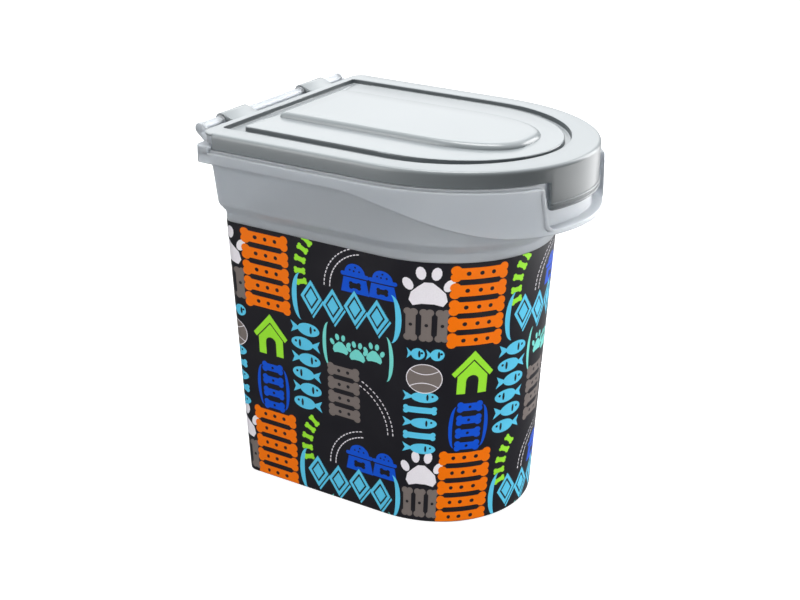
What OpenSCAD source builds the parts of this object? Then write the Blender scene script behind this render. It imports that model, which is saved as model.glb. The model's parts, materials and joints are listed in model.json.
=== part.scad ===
// Pet food bin: a D-shaped tub with a finger notch in its outer skirt, a printed wrap
// round its body and a lid that snaps on to a hinge bar across the back.
// +X is to the right, +Y to the back (the hinge), +Z up. The origin is on the
// floor, under the middle of the bin. Millimetres.

/* [Body] */
// Half the body's width at the floor
floor_half = 83.8; // [78:0.2:88]
// How far the body's rounded front reaches from its arc centre, at the floor
floor_front = 87.7; // [82:0.1:92]
// How far the body's flat back is behind the arc centre, at the floor
floor_back = 145.8; // [140:0.2:147]
// Height of the printed body, where the clear collar begins
body_h = 242; // [238:1:246]
// How much the body widens on each side from the floor to body_h
body_draft = 10.5; // [8:0.5:11.5]
// Thickness of the tub's walls
wall = 2; // [1.6:0.1:2.4]
// Thickness of the printed wrap
wrap_t = 0.4; // [0.3:0.05:0.8]

/* [Collar] */
// Height at which the shoulder starts to slope outwards
shoulder_low = 250; // [249:0.5:252]
// Height at which the shoulder's slope ends
shoulder_high = 258.5; // [257:0.5:260]
// Height of the top face of the ledge that runs under the lid
ledge_z = 308.5; // [307:0.5:309]
// Lowest point of the outer skirt, at the front
wave_low = 270; // [269:0.5:272]
// Height of the outer skirt's lower edge at the sides and back
wave_high = 299.5; // [297:0.5:301]
// Height of the tub's rim
rim_z = 321.4; // [319:0.2:321.6]

/* [Finger notch] */
// Half the width of the notch in the outer skirt, at its floor
notch_half = 52; // [50:1:54]
// How much wider each side of the notch is at the ledge
notch_flare = 6; // [4:1:7]
// Height of the notch's floor
notch_z = 274; // [273:0.5:276]

/* [Lid] */
// Height of the lid's outer rim
lid_z = 324; // [323.6:0.2:325]
// Thickness of the lid's walls
lid_t = 2; // [1.6:0.1:2.2]
// Height of the lid's skirt
skirt_h = 13; // [11:0.5:14]
// Depth of the channel between the lid's rim and its middle panel
channel_depth = 4.4; // [3:0.2:5]
// How far the raised centre stands above the panel
raised_h = 4.5; // [3:0.5:6]
// Half the width of the pull tab at the front
tab_half = 46; // [40:1:47]
// Height of the pull tab below the skirt
tab_h = 23; // [18:1:25]

/* [Hinge] */
// Radius of the hinge bar
bar_r = 4.3; // [3.8:0.1:4.5]
// Gap between the bar and the lid's clips
bar_gap = 0.5; // [0.4:0.1:0.8]
// Thickness of a clip's wall
clip_t = 1.8; // [1.6:0.1:2]
// Distance from the bin's middle to a clip's middle
clip_x = 57.5; // [50:0.5:62]
// Width of each clip
clip_w = 34; // [26:1:36]

/* [Hidden] */

// Points along each stretch of a D-shaped outline
front_steps = 40;
side_steps = 8;
corner_steps = 5;

// Outlines are [half width, front reach, back reach, back corner radius]
body_floor = [floor_half, floor_front, floor_back, 8];
body_top = widen(body_floor, body_draft * shoulder_low / body_h, 3);
shoulder = [102, 107, 157, 8];
collar = [105.5, 110, 157.2, 5];
rim = [112.6, 127.5, 157.6, 10];
ledge = [120.6, 137, 158.5, 5];
lid_rim = [117, 132, 156.5, 12];
channel_out = [98.6, 107, 149, 4];
channel_in = [86, 103, 136, 3];

// The sides of the ledge, rim and lid spread slightly towards the back
toe = 0.011;

// Foot of the tub: a rounded bottom edge, and a floor lifted inside a rim
edge_r = 3;
foot_w = 9;
foot_lift = 1.2;
floor_t = 2.4;
edge_steps = 4;
// The wrap starts at this step of the rounded edge
wrap_step = 2;

// The notch only grazes the rim's wall, which stands whole behind the lid's tab
notch_bite = 0.1;

// The skirt's wave falls between these two places along the side
wave_start = 30;
wave_end = -125;
// The collar flares out to the rim just behind the skirt's lower edge
flare_below = 8;
flare_above = 4;

// Low rib on the ledge, which the lid's skirt closes down on to
rib_out = 0.4;
rib_t = 2.2;
rib_h = 2;

// The skirt of the lid stops short of the hinge, over a raised back shelf
skirt_back = 144;
shelf_front = 146.5;
shelf_z = 314;

// The ring under the lid that fits inside the tub's rim
plug_gap = 1.6;
plug_drop = 7;

// Two beads along the tab's lower edge
bead_out = 1.2;
bead_h = 2.2;
bead_gap = 1.6;

// Raised centre of the lid: [half width, front reach, centre, back, corner]
raised = [48, 72.5, -10, 129, 4];
raised_power = 3;
raised_steps = 36;
// Its edge is rounded over this far in from the front, and less far at its sides
raised_round = 7.5;
raised_side = 0.6;
round_steps = 5;

// Hinge bar, its end posts and the collars beside the clips
bar_y = 168;
bar_z = 321;
bar_half = 100;
post_t = 3.5;
post_r = 4.8;
collar_r = 5;
collar_w = 2;
clip_side_gap = 0.5;
clip_bore = bar_r + bar_gap;
clip_r = clip_bore + clip_t;
clip_mouth = 7;

// Middle of the bin along Y, which goes to the origin
mid_y = (bar_y + clip_r - ledge[1]) / 2;

fine = 64;
far = 400;

// An outline grown by d on every side; grow_corner adds to its corner radius
function widen(o, d, grow_corner = 0) =
    [o[0] + d, o[1] + d, o[2] + d, max(o[3] + grow_corner, 0.5)];

// An outline shrunk by d on every side
function inset(o, d) = [o[0] - d, o[1] - d, o[2] - d, max(o[3] - d, 0.5)];

// An outline part of the way, k, from a to b
function between(a, b, k) = a * (1 - k) + b * k;

// Half width of an outline at y, on its straight sides
function half_at(o, y, spread) = o[0] + spread * max(y, 0);

// Points of a D: an elliptical front, straight sides and rounded back corners
function d_points(o, spread = 0) =
    let (back_half = half_at(o, o[2], spread), r = o[3], straight = o[2] - r)
    concat(
        [for (i = [0:front_steps])
            let (t = 180 + 180 * i / front_steps) [o[0] * cos(t), o[1] * sin(t)]],
        [for (i = [1:side_steps])
            let (y = straight * i / side_steps) [half_at(o, y, spread), y]],
        [for (i = [1:corner_steps])
            let (t = 90 * i / corner_steps)
            [back_half - r + r * cos(t), straight + r * sin(t)]],
        [for (i = [0:corner_steps])
            let (t = 90 + 90 * i / corner_steps)
            [-back_half + r + r * cos(t), straight + r * sin(t)]],
        [for (i = [side_steps - 1:-1:1])
            let (y = straight * i / side_steps) [-half_at(o, y, spread), y]]
    );

// The same points at a height
function ring(o, z, spread = 0) = [for (p = d_points(o, spread)) [p[0], p[1], z]];

// 0 at wave_start and behind it, 1 at wave_end, smooth between
function ease(k) = k * k * (3 - 2 * k);
function wave_fall(y) = ease(min(1, max(0, (wave_start - y) / (wave_start - wave_end))));
function wave_z(y) = wave_high - (wave_high - wave_low) * wave_fall(y);

// Points at a height above the wave
function wave_ring(o, above, spread = 0) =
    [for (p = d_points(o, spread)) [p[0], p[1], wave_z(p[1]) + above]];

// Closed solid through a list of rings, which all have the same number of points
// and start with a front of the given steps; strips across the bin close its ends
module loft(rings, steps = front_steps) {
    n = len(rings[0]);
    last = len(rings) - 1;
    points = [for (r = rings) for (p = r) p];
    sides = [for (j = [0:last - 1]) for (i = [0:n - 1])
        let (a = j * n + i, b = j * n + (i + 1) % n)
        each [[a, a + n, b + n], [a, b + n, b]]];
    low_end = [for (k = [steps / 2:steps / 2 + (n - 1) / 2 - 1])
        let (m = (steps - k + n) % n, m2 = (steps - k - 1 + n) % n)
        each k == m ? [[k, k + 1, m2]] : [[k, k + 1, m2], [k, m2, m]]];
    high_end = [for (f = low_end) [for (i = [2:-1:0]) f[i] + last * n]];
    polyhedron(points, concat(low_end, sides, high_end), convexity = 8);
}

// Upright D-shaped block from z0 to z1
module d_block(o, z0, z1, spread = 0) {
    translate([0, 0, z0]) linear_extrude(z1 - z0) polygon(d_points(o, spread));
}

// Wall that is t thick inside an outline, from z0 to z1
module d_wall(o, t, z0, z1, spread = 0) {
    difference() {
        d_block(o, z0, z1, spread);
        d_block(inset(o, t), z0 - 1, z1 + 1, spread);
    }
}

// Cylinder along X between x0 and x1, round the hinge's axis
module on_axis(r, x0, x1) {
    translate([x0, bar_y, bar_z]) rotate([0, 90, 0])
        cylinder(r = r, h = x1 - x0, $fn = fine);
}

// Body outline at a height on the tapered body
function body_at(z) = between(body_floor, body_top, z / shoulder_low);

// Rings up the body's rounded bottom edge from a step on, grown by d
function edge_rings(from, d) = [for (i = [from:edge_steps])
    let (t = 90 * i / edge_steps, z = edge_r * (1 - cos(t)))
    ring(widen(body_at(z), d - edge_r * (1 - sin(t))), z)];

// Outer skin of the tub from the floor to the rim
module tub_skin() {
    loft(concat(edge_rings(0, 0), [
        ring(body_top, shoulder_low),
        ring(shoulder, shoulder_high),
        wave_ring(collar, -flare_below),
        wave_ring(rim, flare_above, toe),
        ring(rim, rim_z, toe)
    ]));
}

// Space inside the tub
module tub_space() {
    low = foot_lift + floor_t;
    loft([
        ring(inset(body_at(low), wall + 1.5), low),
        ring(inset(body_at(low), wall), low + 1.5),
        ring(inset(body_top, wall), shoulder_low + 0.8),
        ring(inset(shoulder, wall), shoulder_high + 0.8),
        wave_ring(inset(collar, wall), 0.8 - flare_below),
        wave_ring(inset(rim, wall), flare_above, toe),
        ring(inset(rim, wall), rim_z + 1, toe)
    ]);
}

// Skirt that hangs outside the collar with a wave along its lower edge
module outer_skirt() {
    difference() {
        loft([wave_ring(ledge, 0, toe), ring(ledge, ledge_z, toe)]);
        loft([wave_ring(inset(ledge, wall), -1, toe),
            ring(inset(ledge, wall), ledge_z - wall, toe)]);
        d_block(inset(rim, wall), wave_low, ledge_z + 1, toe);
    }
}

// Rib on the ledge, just under the lid's skirt
module seat_rib() {
    d_wall(widen(lid_rim, rib_out), rib_t, ledge_z - wall / 2, ledge_z + rib_h, toe);
}

// Raised shelf along the back edge, between the ledge and the hinge
module back_shelf() {
    intersection() {
        difference() {
            d_block(ledge, ledge_z - wall, shelf_z, toe);
            d_block(inset(rim, wall), ledge_z - far, shelf_z + 1, toe);
        }
        translate([-far / 2, shelf_front, 0]) cube([far, far, far]);
    }
}

// The notch seen from the front, grown by d
module notch_outline(d) {
    bottom = notch_z - d;
    slope = notch_flare / (ledge_z - notch_z);
    half = notch_half + d;
    r = 8;
    right = concat(
        [for (i = [0:6]) let (t = -90 + 90 * i / 6)
            [half - r + r * cos(t), bottom + r + r * sin(t)]],
        [[half + slope * (far - bottom), far]]
    );
    polygon(concat(right, [for (i = [len(right) - 1:-1:0]) [-right[i][0], right[i][1]]]));
}

// Block of the notch's outline through the front, up to a depth into the rim's wall
module notch(d, top, depth) {
    difference() {
        intersection() {
            translate([0, -60, 0]) rotate([90, 0, 0]) linear_extrude(100) notch_outline(d);
            translate([-far / 2, -far, 0]) cube([far, far, top]);
        }
        d_block(inset(rim, depth), 0, far, toe);
    }
}

// Walls and floor that join the rim to the outer skirt round the notch
module notch_frame() {
    intersection() {
        d_block(ledge, notch_z - wall, ledge_z, toe);
        notch(wall, ledge_z, wall);
    }
}

// Post at one end of the hinge bar, seen from the side: an eye round the bar and
// a leg that runs down to the rim's back wall
module post_outline() {
    in_rim = rim[2] - wall / 2;
    translate([bar_y, bar_z]) circle(r = post_r, $fn = fine);
    polygon([[bar_y - 4.3, bar_z + 2], [in_rim, bar_z - 4], [in_rim, shelf_z - 8],
        [ledge[2] - 0.5, shelf_z - 8], [bar_y + 3.2, bar_z - 3.5]]);
}

// The hinge bar with its posts, collars and middle support
module hinge_bar() {
    on_axis(bar_r, -bar_half, bar_half);
    for (side = [-1, 1]) {
        translate([side * bar_half + (side > 0 ? 0 : -post_t), 0, 0])
            rotate([90, 0, 90]) linear_extrude(post_t) post_outline();
        for (end = [-1, 1]) {
            x = side * clip_x + end * (clip_w / 2 + clip_side_gap + collar_w / 2);
            on_axis(collar_r, x - collar_w / 2, x + collar_w / 2);
        }
    }
}

module tub() {
    color([0.78, 0.8, 0.82, 0.6]) translate([0, -mid_y, 0]) {
        difference() {
            union() {
                tub_skin();
                outer_skirt();
                seat_rib();
                back_shelf();
                notch_frame();
            }
            tub_space();
            notch(0, far, notch_bite);
            d_block(inset(body_floor, foot_w), -1, foot_lift);
        }
        hinge_bar();
    }
}

// Film round the body, from part of the way up its rounded edge to body_h
module printed_wrap() {
    inner = edge_rings(wrap_step, 0);
    below = [for (p = inner[0]) [p[0], p[1], 0]];
    color([0.14, 0.13, 0.16]) translate([0, -mid_y, 0]) difference() {
        loft(concat(edge_rings(wrap_step, wrap_t), [ring(widen(body_at(body_h), wrap_t), body_h)]));
        loft(concat([below], inner, [ring(body_top, shoulder_low)]));
    }
}

// Outline of the raised centre, inset by d: its front is a blunt half ellipse
function raised_points(d) =
    let (half = raised[0] - raised_side * d, reach = raised[1] - d,
        back = raised[3] - raised_side * d, r = raised[4])
    concat(
        [for (i = [0:raised_steps]) let (t = 180 * i / raised_steps)
            [-half * sign(cos(t)) * pow(abs(cos(t)), 2 / raised_power),
             raised[2] - reach * sin(t)]],
        [for (i = [0:corner_steps]) let (t = 90 * i / corner_steps)
            [half - r + r * cos(t), back - r + r * sin(t)]],
        [for (i = [0:corner_steps]) let (t = 90 + 90 * i / corner_steps)
            [-half + r + r * cos(t), back - r + r * sin(t)]]
    );
function raised_ring(d, z) = [for (p = raised_points(d)) [p[0], p[1], z]];

// Rings over its rounded edge, inset by d, from the panel at a height up to its top
function raised_edge(d, z) = [for (i = [0:round_steps])
    let (t = 90 * i / round_steps)
    raised_ring(d + raised_round * (1 - cos(t)), z + raised_h * sin(t))];

// Skirt round the lid, stopping short of the hinge
module lid_skirt() {
    intersection() {
        d_wall(lid_rim, lid_t, lid_z - skirt_h, lid_z, toe);
        translate([-far / 2, skirt_back - far, 0]) cube([far, far, far]);
    }
}

// Pull tab at the front, with two beads along its lower edge
module pull_tab() {
    low = lid_z - skirt_h - tab_h;
    intersection() {
        union() {
            d_wall(lid_rim, lid_t, low, lid_z - skirt_h + 1, toe);
            for (i = [0, 1])
                d_wall(widen(lid_rim, bead_out), lid_t + bead_out,
                    low + i * (bead_h + bead_gap), low + i * (bead_h + bead_gap) + bead_h, toe);
        }
        translate([-tab_half, -far, 0]) cube([2 * tab_half, far, far]);
    }
}

// Clip that snaps over the hinge bar, with its arm from the lid's rim
module clip(x) {
    arm_low = lid_z - lid_t;
    difference() {
        union() {
            on_axis(clip_r, x - clip_w / 2, x + clip_w / 2);
            translate([x - clip_w / 2, 0, 0]) rotate([90, 0, 90]) linear_extrude(clip_w)
                polygon([[lid_rim[2] - 2, arm_low], [lid_rim[2] - 2, lid_z],
                    [lid_rim[2] + 1.5, lid_z], [bar_y - 2.6, bar_z + clip_r - 0.6],
                    [bar_y, bar_z + clip_bore + 0.2], [bar_y - clip_bore - 0.2, bar_z + 0.5]]);
        }
        on_axis(clip_bore, x - clip_w, x + clip_w);
        translate([x - clip_w, bar_y - clip_mouth / 2, bar_z - 2 * clip_r])
            cube([2 * clip_w, clip_mouth, 2 * clip_r]);
    }
}

module lid() {
    plate_low = lid_z - lid_t;
    channel_low = lid_z - channel_depth;
    color([0.78, 0.8, 0.81]) translate([0, -mid_y, 0]) {
        difference() {
            union() {
                d_block(lid_rim, plate_low, lid_z, toe);
                d_block(widen(channel_out, lid_t), channel_low - lid_t, lid_z);
                loft(concat([raised_ring(0, lid_z - 1)], raised_edge(0, lid_z)), raised_steps);
            }
            difference() {
                d_block(channel_out, channel_low, lid_z + 1);
                d_block(channel_in, channel_low - 1, lid_z + 2);
            }
            d_block(inset(channel_in, lid_t), 0, plate_low);
            loft(concat([raised_ring(lid_t, plate_low - 1)], raised_edge(lid_t, plate_low)),
                raised_steps);
        }
        lid_skirt();
        pull_tab();
        d_wall(inset(rim, wall + plug_gap), lid_t, plate_low - plug_drop, plate_low + 1, toe);
        for (side = [-1, 1]) clip(side * clip_x);
    }
}

tub();
printed_wrap();
lid();
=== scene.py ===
"""Pet food bin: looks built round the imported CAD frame.

Lengths in the shape functions are millimetres, measured from the floor and from the
centre of the bin's rounded front; place() puts them in the row frame, in metres.
"""
import json
import math

import bpy
import bmesh
import numpy as np
from mathutils import Matrix, Vector, geometry


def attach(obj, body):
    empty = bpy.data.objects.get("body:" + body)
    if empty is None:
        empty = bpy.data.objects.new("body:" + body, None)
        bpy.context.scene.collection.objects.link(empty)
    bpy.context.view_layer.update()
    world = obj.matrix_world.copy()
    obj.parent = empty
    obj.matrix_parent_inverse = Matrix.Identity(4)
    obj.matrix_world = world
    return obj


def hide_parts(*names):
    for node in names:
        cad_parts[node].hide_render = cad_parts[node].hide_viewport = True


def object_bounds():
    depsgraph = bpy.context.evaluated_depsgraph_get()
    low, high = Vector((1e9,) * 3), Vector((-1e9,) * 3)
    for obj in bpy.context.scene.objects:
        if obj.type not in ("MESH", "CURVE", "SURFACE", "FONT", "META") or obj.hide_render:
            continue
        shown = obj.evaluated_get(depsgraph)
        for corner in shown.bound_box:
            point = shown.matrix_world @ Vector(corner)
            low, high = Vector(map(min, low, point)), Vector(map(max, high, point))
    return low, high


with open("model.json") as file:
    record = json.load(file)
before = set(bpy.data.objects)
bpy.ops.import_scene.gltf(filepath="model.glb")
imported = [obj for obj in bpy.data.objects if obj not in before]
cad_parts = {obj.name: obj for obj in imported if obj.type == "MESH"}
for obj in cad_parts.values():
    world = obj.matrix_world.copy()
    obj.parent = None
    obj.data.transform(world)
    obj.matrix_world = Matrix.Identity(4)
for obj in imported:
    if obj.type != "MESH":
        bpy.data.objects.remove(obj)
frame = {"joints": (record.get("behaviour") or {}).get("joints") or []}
cad_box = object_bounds()

# The hinge's axis in the CAD model sets where the shapes below go
BAR_Y, BAR_Z = 168.0, 321.0
HINGE = [1000 * c for c in frame["joints"][0]["pos_m"]]
SHIFT_Y = HINGE[1] - BAR_Y
SHIFT_Z = HINGE[2] - BAR_Z

# ---------------------------------------------------------------- sizes (mm)
BODY_FLOOR = (83.8, 87.7, 145.8, 8)
BODY_TOP = (94.65, 98.55, 156.65, 11)
SHOULDER = (102, 107, 157, 8)
COLLAR = (105.5, 110, 157.2, 5)
RIM = (112.6, 127.5, 157.6, 10)
LEDGE = (120.6, 137, 158.5, 5)
LID_RIM = (117, 132, 156.5, 12)
CHANNEL_OUT = (98.6, 107, 149, 4)
CHANNEL_IN = (86, 103, 136, 3)
TOE = 0.011
WALL = 2.0
WRAP = 0.4
WRAP_TOP = 242.0
BODY_H = 250.0
SHOULDER_Z = 258.5
# The foot: its edge's radius, its ring's width, the lift inside it, and the floor above
EDGE_R = 3.0
FOOT_W, FOOT_LIFT, FLOOR_Z = 9.0, 1.2, 3.6
# The wall widens from collar to rim from this far below the wavy edge to this far above
FLARE_BELOW, FLARE_ABOVE = 8.0, 4.0
LEDGE_Z = 308.5
RIM_Z = 321.4
SHELF_Z = 314.0
SHELF_FRONT = 146.5
NOTCH_HALF, NOTCH_Z, NOTCH_R, NOTCH_SLOPE = 52.0, 274.0, 8.0, 0.1857
LID_Z, LID_T = 324.0, 2.0
SKIRT_Z, TAB_Z, TAB_HALF = 311.0, 288.0, 46.0
SKIRT_BACK = 144.0
CHANNEL_Z = LID_Z - 4.4
RAISED_Z = LID_Z + 4.5
RAISED_ROUND = 7.5
PLUG_Z, PLUG_GAP = 315.0, 1.6
BAR_R, BAR_HALF = 4.3, 100.0
POST_R, POST_T = 4.8, 3.5
CLIP_X, CLIP_W = 57.5, 34.0
CLIP_BORE, CLIP_R, CLIP_MOUTH = 4.8, 6.6, 3.5


# ---------------------------------------------------------------- outlines
# Columns are laid out for an outline that is FRONT_REF wide and SIDE_REF deep. Other
# outlines keep their places up to the _FLAT values, and stretch or shrink the rest.
FRONT_FLAT, FRONT_REF = 62.0, 112.6
SIDE_FLAT, SIDE_REF = 120.0, 147.6
SIDE_STEPS, CORNER_STEPS, BACK_STEPS = 30, 10, 24


def front_columns():
    """Places across the front, closer together round the edges of the notch and the tab."""
    wide = [FRONT_REF * math.cos(math.radians(t)) for t in np.linspace(180, 360, 97)]
    near = [s * x for s in (-1, 1) for x in np.arange(43.2, 62, 0.4)]
    kept = [x for x in wide if not 43 < abs(x) < 62.2]
    return np.array(sorted(kept + near))


FRONT_X = front_columns()
SIDE_Y = np.concatenate([np.linspace(0, SIDE_FLAT, SIDE_STEPS)[1:],
                         [125, 130, 135, 139, 142, 144.5, 146, 146.9, 147.1, SIDE_REF]])


def widen(o, d):
    """An outline (half width, front reach, back reach, corner) grown by d."""
    return (o[0] + d, o[1] + d, o[2] + d, max(o[3] + d, 0.5))


def stretched(values, flat, ref, end):
    """Values as they are up to flat, and from there to ref spread out as far as end."""
    return np.minimum(values, flat) + np.maximum(values - flat, 0) * (end - flat) / (ref - flat)


def with_back(front, right, r):
    """A whole D from its front and its right side, with back corners of radius r."""
    end, straight = right[-1]
    q = np.radians(np.linspace(0, 90, CORNER_STEPS + 1))[1:]
    corner = np.stack([end - r + r * np.cos(q), straight + r * np.sin(q)], -1)
    across = np.linspace(end - r, r - end, BACK_STEPS + 1)[1:-1]
    rear = np.stack([across, np.full(len(across), straight + r)], -1)
    flip = np.array([-1, 1])
    return np.concatenate([front, right, corner, rear, (corner * flip)[::-1], (right * flip)[::-1]])


def outline(o, toe=0.0):
    """Points of the D: rounded front, straight sides and rounded back corners."""
    a, b, back, r = o
    x = stretched(np.abs(FRONT_X), FRONT_FLAT, FRONT_REF, a)
    front = np.stack([np.sign(FRONT_X) * x, -b * np.sqrt(np.maximum(0, 1 - (x / a) ** 2))], -1)
    y = stretched(SIDE_Y, SIDE_FLAT, SIDE_REF, back - r)
    return with_back(front, np.stack([a + toe * y, y], -1), r)


COLUMNS = len(outline(RIM))
IS_FRONT = np.arange(COLUMNS) < len(FRONT_X)


def raised_outline(d):
    """Outline of the lid's raised centre, inset by d: a blunt half ellipse in front."""
    half, reach, middle, back, r = 48 - 0.6 * d, 72.5 - d, -10.0, 129 - 0.6 * d, 4.0
    s = FRONT_X / FRONT_REF
    blunt = half * np.sign(s) * np.abs(s) ** (2 / 3)
    front = np.stack([blunt, middle - reach * np.sqrt(1 - s ** 2)], -1)
    y = middle + (back - r - middle) * SIDE_Y / SIDE_REF
    return with_back(front, np.stack([np.full(len(y), half), y], -1), r)


def at(points, z):
    """Points of an outline at a height, or at a height for each point."""
    return np.column_stack([points, np.broadcast_to(z, len(points))])


def wave(y):
    """Height of the outer skirt's lower edge: high at the sides, low in front."""
    k = np.clip((30 - y) / 155, 0, 1)
    return 299.5 - 29.5 * k * k * (3 - 2 * k)


def notch_edge(grow):
    """Height of the notch's edge, grown by a margin, at each column of the rim."""
    half, bottom = NOTCH_HALF + grow, NOTCH_Z - grow
    m = np.abs(outline(RIM)[:, 0])
    inner = m - (half - NOTCH_R)
    curve = bottom + NOTCH_R - np.sqrt(np.maximum(0, NOTCH_R ** 2 - np.maximum(inner, 0) ** 2))
    cap = np.where(m < half, curve, bottom + NOTCH_R + (m - half) / NOTCH_SLOPE)
    return np.where(IS_FRONT, cap, 999.0)


def body_outline(z, d=0.0):
    """Outline of the tapered body at a height, grown by d."""
    k = z / BODY_H
    return outline(widen(tuple(p * (1 - k) + q * k for p, q in zip(BODY_FLOOR, BODY_TOP)), d))


# ---------------------------------------------------------------- mesh helpers
def place(points):
    """Millimetres in the shape's own place to metres in the row frame."""
    return (np.asarray(points, float) + [0, SHIFT_Y, SHIFT_Z]) / 1000


def rounded(section, steps=4):
    """Rows of a section with its corners rounded; each entry is (row, radius)."""
    rows = [section[0][0]]
    for i in range(1, len(section) - 1):
        before, (row, radius), after = section[i - 1][0], section[i], section[i + 1][0]
        if radius <= 0:
            rows.append(row)
            continue
        ends = []
        for other in (before, after):
            step = other - row
            size = np.linalg.norm(step, axis=1, keepdims=True)
            ends.append(row + step * np.minimum(radius / np.maximum(size, 1e-6), 0.45))
        for t in np.linspace(0, 1, steps + 1):
            rows.append(ends[0] * (1 - t) ** 2 + row * 2 * t * (1 - t) + ends[1] * t ** 2)
    rows.append(section[-1][0])
    return rows


def finish_mesh(name, bm, angle=32):
    """A smooth-shaded object from a bmesh, with its real edges kept sharp."""
    bmesh.ops.remove_doubles(bm, verts=bm.verts, dist=2e-6)
    bmesh.ops.dissolve_degenerate(bm, edges=bm.edges, dist=1e-6)
    for e in bm.edges:
        e.smooth = len(e.link_faces) == 2 and e.calc_face_angle(0) < math.radians(angle)
    for f in bm.faces:
        f.smooth = True
    mesh = bpy.data.meshes.new(name)
    bm.to_mesh(mesh)
    bm.free()
    obj = bpy.data.objects.new(name, mesh)
    bpy.context.scene.collection.objects.link(obj)
    return obj


def add_loft(bm, rows, low_end=None, high_end=None, closed=False):
    """Skin through rings of the same number of points. low_end and high_end are the
    middle points that close its ends; closed joins the last ring to the first."""
    rings = [[bm.verts.new(p) for p in place(r)] for r in rows]
    pairs = list(zip(rings, rings[1:])) + ([(rings[-1], rings[0])] if closed else [])
    for lower, upper in pairs:
        for i in range(len(lower)):
            j = (i + 1) % len(lower)
            bm.faces.new((lower[i], lower[j], upper[j], upper[i]))
    for middle, ring, turn in ((low_end, rings[0], -1), (high_end, rings[-1], 1)):
        if middle is not None:
            tip = bm.verts.new(place([middle])[0])
            for i in range(len(ring)):
                j = (i + 1) % len(ring)
                bm.faces.new((tip, ring[i], ring[j])[::turn])


def add_prism(bm, section, x0, x1, bevel=0.4):
    """A section in Y and Z carried along X, with its edges bevelled."""
    part = bmesh.new()
    ends = [[part.verts.new(p) for p in place([(x, y, z) for y, z in section])] for x in (x0, x1)]
    n = len(section)
    part.faces.new(ends[0])
    part.faces.new(ends[1][::-1])
    for i in range(n):
        j = (i + 1) % n
        part.faces.new((ends[0][i], ends[1][i], ends[1][j], ends[0][j]))
    bmesh.ops.recalc_face_normals(part, faces=part.faces)
    sharp = [e for e in part.edges if e.calc_face_angle(0) > math.radians(35)]
    bmesh.ops.bevel(part, geom=sharp, offset=bevel / 1000, segments=2, profile=0.5,
                    affect="EDGES", clamp_overlap=True)
    add_copy(bm, part)


def add_copy(bm, part):
    """Adds another bmesh's geometry to bm, and frees it."""
    mesh = bpy.data.meshes.new("part")
    part.to_mesh(mesh)
    part.free()
    bm.from_mesh(mesh)
    bpy.data.meshes.remove(mesh)


def circle(cy, cz, r, start=0.0, end=360.0, steps=40):
    """Points of an arc in Y and Z, from start to end degrees."""
    whole = abs(end - start) >= 360
    t = np.radians(np.linspace(start, end, steps + 1)[:steps if whole else steps + 1])
    return [(cy + r * math.cos(a), cz + r * math.sin(a)) for a in t]


def add_tube(bm, path, across, up, sides=12):
    """A closed bead along a path. across and up are its half sizes, as vectors for
    each point; the bead tapers to a point at both ends."""
    path, across, up = (np.asarray(v, float) for v in (path, across, up))
    n = len(path)
    ease = np.sqrt(np.clip(np.minimum(np.arange(n), np.arange(n)[::-1]) / 3.0, 0, 1))[:, None]
    angles = np.linspace(0, 2 * math.pi, sides + 1)[:-1]
    rings = []
    for i in range(1, n - 1):
        ring = [path[i] + ease[i] * (across[i] * math.cos(t) + up[i] * math.sin(t)) for t in angles]
        rings.append([bm.verts.new(p) for p in place(ring)])
    tips = [bm.verts.new(place([path[i]])[0]) for i in (0, n - 1)]
    made = []
    for one, two in zip(rings, rings[1:]):
        for i in range(sides):
            j = (i + 1) % sides
            made.append(bm.faces.new((one[i], one[j], two[j], two[i])))
    for tip, ring in zip(tips, (rings[0], rings[-1])):
        for i in range(sides):
            made.append(bm.faces.new((tip, ring[i], ring[(i + 1) % sides])))
    bmesh.ops.recalc_face_normals(bm, faces=made)


# ---------------------------------------------------------------- the tub
def tub_section():
    """Rows up the tub's outside, over its rim and down its inside, from foot to floor."""
    rim, rim_in = outline(RIM, TOE), outline(widen(RIM, -WALL), TOE)
    ledge, ledge_in = outline(LEDGE, TOE), outline(widen(LEDGE, -WALL), TOE)
    collar, collar_in = outline(COLLAR), outline(widen(COLLAR, -WALL))
    foot = outline(widen(BODY_FLOOR, -FOOT_W))
    # The notch cuts the ledge down to its own floor, and the wall's thickness below that
    under = notch_edge(WALL)
    step = np.minimum(LEDGE_Z, notch_edge(0.0))
    # Inside corners of the slopes sit this much higher, which keeps the wall's thickness
    slope = 0.8
    return [
        (at(foot, FOOT_LIFT), 0),
        (at(foot, 0.0), 0.5),
        (at(outline(BODY_FLOOR), 0.0), EDGE_R),
        (at(body_outline(120), 120), 0),
        (at(body_outline(BODY_H), BODY_H), 2.0),
        (at(outline(SHOULDER), SHOULDER_Z), 3.0),
        (at(collar, wave(collar[:, 1]) - FLARE_BELOW), 3.0),
        (at(rim, np.minimum(wave(rim[:, 1]) + FLARE_ABOVE, under)), 1.0),
        (at(rim, np.minimum(LEDGE_Z - WALL, under + 0.3)), 0.8),
        (at(ledge_in, np.minimum(LEDGE_Z - WALL, under + 0.3)), 1.0),
        (at(ledge_in, wave(ledge_in[:, 1])), 0.7),
        (at(ledge, wave(ledge[:, 1])), 0.8),
        (at(ledge, step), 1.3),
        (at(rim, step), 1.4),
        (at(rim, RIM_Z), 0.8),
        (at(rim_in, RIM_Z), 0.8),
        (at(rim_in, wave(rim_in[:, 1]) + FLARE_ABOVE), 2.0),
        (at(collar_in, wave(collar_in[:, 1]) - FLARE_BELOW + slope), 3.0),
        (at(outline(widen(SHOULDER, -WALL)), SHOULDER_Z + slope), 3.0),
        (at(outline(widen(BODY_TOP, -WALL)), BODY_H + slope), 2.0),
        (at(body_outline(FLOOR_Z, -WALL), FLOOR_Z), 5.0),
        (at(body_outline(FLOOR_Z, -WALL - 30), FLOOR_Z), 0),
    ]


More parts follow.
